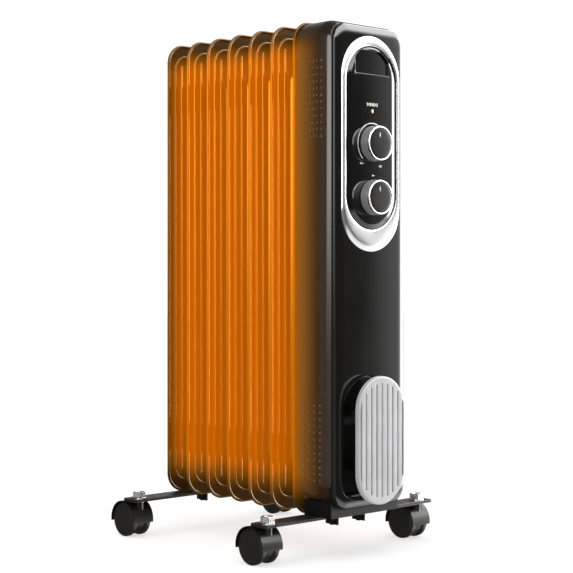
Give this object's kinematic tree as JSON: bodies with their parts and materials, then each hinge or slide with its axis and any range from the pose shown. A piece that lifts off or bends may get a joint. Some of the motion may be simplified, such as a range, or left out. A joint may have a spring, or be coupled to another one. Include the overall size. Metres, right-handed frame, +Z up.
{
  "type": "oil filled radiator heater",
  "caption": "Free-standing oil filled radiator: pressed steel fins on oil collectors, a control housing with turning knobs, a cord wrap plate and foot bars on swivelling twin-wheel casters.",
  "frame": {"origin": "on the floor, under the middle of the heater's bounding box", "axes": "+Z up from the floor to the fins' top; -Y to the front, where the knobs face; +X to the right of someone who faces the knobs"},
  "size_m": [0.25, 0.3046, 0.56],
  "materials": {
    "fin_enamel": "gloss enamel, orange in the middle and dark brown towards the top and bottom",
    "collector_enamel": "gloss enamel, dark orange brown",
    "element_steel": "dull heated steel",
    "gasket_rubber": "matt black",
    "cutout_ceramic": "unglazed off-white",
    "zinc_steel": "bright zinc plate",
    "nut_chrome": "bright plated with fine machining marks",
    "housing_black": "gloss black with a soft sheen",
    "panel_black": "high gloss black with white printed marks",
    "bezel_chrome": "mirror chrome",
    "grip_black": "fine matt black",
    "lamp_amber": "translucent amber, lit",
    "switch_plastic": "plain ivory",
    "bob_steel": "turned steel",
    "plate_silver": "satin silver paint",
    "lead_insulation": "coloured glass sleeve",
    "knob_silver": "satin silver paint, slightly grained",
    "ring_chrome": "mirror chrome",
    "cap_black": "satin black",
    "bar_black": "semi-gloss black powder coat",
    "hood_black": "satin black moulding",
    "wheel_black": "satin black moulding"
  },
  "bodies": {
    "heater_frame": {"fin_1": "fin_enamel", "fin_2": "fin_enamel", "fin_3": "fin_enamel", "fin_4": "fin_enamel", "fin_5": "fin_enamel", "fin_6": "fin_enamel", "fin_7": "fin_enamel", "top_collector": "collector_enamel", "bottom_collector": "collector_enamel", "heating_elements": "element_steel", "element_flange": "element_steel", "element_gasket": "gasket_rubber", "thermal_cutout": "cutout_ceramic", "filler_plug": "zinc_steel", "front_cover": "housing_black", "side_shell": "housing_black", "foot_saddle": "housing_black", "control_panel": "panel_black", "panel_bezel": "bezel_chrome", "grip_cup": "grip_black", "power_lamp": "lamp_amber", "thermostat_body": "switch_plastic", "selector_switch_body": "switch_plastic", "tip_switch": "switch_plastic", "cord_wrap_plate": "plate_silver", "cord_wrap_drum": "grip_black", "cord_gland": "gasket_rubber", "cover_screws": "zinc_steel", "terminal_block": "switch_plastic", "wiring_loom": "lead_insulation", "front_foot_bar": "bar_black", "rear_foot_bar": "bar_black", "foot_u_bolts": "zinc_steel", "foot_wing_nuts": "zinc_steel", "caster_nuts": "nut_chrome", "caster_stems": "zinc_steel"},
    "thermostat_dial": {"thermostat_shaft": "zinc_steel", "thermostat_knob": "knob_silver", "thermostat_ring": "ring_chrome", "thermostat_cap": "cap_black"},
    "selector_dial": {"selector_shaft": "zinc_steel", "selector_knob": "knob_silver", "selector_ring": "ring_chrome", "selector_cap": "cap_black"},
    "tip_pendulum": {"tip_pendulum": "bob_steel"},
    "caster_front_left": {"caster_hood_front_left": "hood_black", "caster_axle_front_left": "zinc_steel"},
    "wheel_front_left_outer": {"wheel_front_left_outer": "wheel_black"},
    "wheel_front_left_inner": {"wheel_front_left_inner": "wheel_black"},
    "caster_front_right": {"caster_hood_front_right": "hood_black", "caster_axle_front_right": "zinc_steel"},
    "wheel_front_right_outer": {"wheel_front_right_outer": "wheel_black"},
    "wheel_front_right_inner": {"wheel_front_right_inner": "wheel_black"},
    "caster_rear_left": {"caster_hood_rear_left": "hood_black", "caster_axle_rear_left": "zinc_steel"},
    "wheel_rear_left_outer": {"wheel_rear_left_outer": "wheel_black"},
    "wheel_rear_left_inner": {"wheel_rear_left_inner": "wheel_black"},
    "caster_rear_right": {"caster_hood_rear_right": "hood_black", "caster_axle_rear_right": "zinc_steel"},
    "wheel_rear_right_outer": {"wheel_rear_right_outer": "wheel_black"},
    "wheel_rear_right_inner": {"wheel_rear_right_inner": "wheel_black"}
  },
  "joints": [
    {"name": "thermostat_turn", "type": "hinge", "parent": "heater_frame", "child": "thermostat_dial", "pos_m": [0, -0.1354, 0.4301], "axis": [0, 1, 0], "range_deg": [-135, 135]},
    {"name": "selector_turn", "type": "hinge", "parent": "heater_frame", "child": "selector_dial", "pos_m": [0, -0.1354, 0.3742], "axis": [0, 1, 0], "range_deg": [0, 270]},
    {"name": "tip_pendulum_swing", "type": "hinge", "parent": "heater_frame", "child": "tip_pendulum", "pos_m": [-0.027, -0.1214, 0.246], "axis": [0, 1, 0], "range_deg": [-20, 20]},
    {"name": "swivel_front_left", "type": "hinge", "parent": "heater_frame", "child": "caster_front_left", "pos_m": [-0.1107, -0.0981, 0.03], "axis": [0, 0, 1], "continuous": true},
    {"name": "roll_front_left_outer", "type": "hinge", "parent": "caster_front_left", "child": "wheel_front_left_outer", "pos_m": [-0.1107, -0.0851, 0.019], "axis": [1, 0, 0], "continuous": true},
    {"name": "roll_front_left_inner", "type": "hinge", "parent": "caster_front_left", "child": "wheel_front_left_inner", "pos_m": [-0.1107, -0.0851, 0.019], "axis": [1, 0, 0], "continuous": true},
    {"name": "swivel_front_right", "type": "hinge", "parent": "heater_frame", "child": "caster_front_right", "pos_m": [0.1107, -0.0981, 0.03], "axis": [0, 0, 1], "continuous": true},
    {"name": "roll_front_right_outer", "type": "hinge", "parent": "caster_front_right", "child": "wheel_front_right_outer", "pos_m": [0.1107, -0.0851, 0.019], "axis": [1, 0, 0], "continuous": true},
    {"name": "roll_front_right_inner", "type": "hinge", "parent": "caster_front_right", "child": "wheel_front_right_inner", "pos_m": [0.1107, -0.0851, 0.019], "axis": [1, 0, 0], "continuous": true},
    {"name": "swivel_rear_left", "type": "hinge", "parent": "heater_frame", "child": "caster_rear_left", "pos_m": [-0.1107, 0.1183, 0.03], "axis": [0, 0, 1], "continuous": true},
    {"name": "roll_rear_left_outer", "type": "hinge", "parent": "caster_rear_left", "child": "wheel_rear_left_outer", "pos_m": [-0.1107, 0.1313, 0.019], "axis": [1, 0, 0], "continuous": true},
    {"name": "roll_rear_left_inner", "type": "hinge", "parent": "caster_rear_left", "child": "wheel_rear_left_inner", "pos_m": [-0.1107, 0.1313, 0.019], "axis": [1, 0, 0], "continuous": true},
    {"name": "swivel_rear_right", "type": "hinge", "parent": "heater_frame", "child": "caster_rear_right", "pos_m": [0.1107, 0.1183, 0.03], "axis": [0, 0, 1], "continuous": true},
    {"name": "roll_rear_right_outer", "type": "hinge", "parent": "caster_rear_right", "child": "wheel_rear_right_outer", "pos_m": [0.1107, 0.1313, 0.019], "axis": [1, 0, 0], "continuous": true},
    {"name": "roll_rear_right_inner", "type": "hinge", "parent": "caster_rear_right", "child": "wheel_rear_right_inner", "pos_m": [0.1107, 0.1313, 0.019], "axis": [1, 0, 0], "continuous": true}
  ]
}
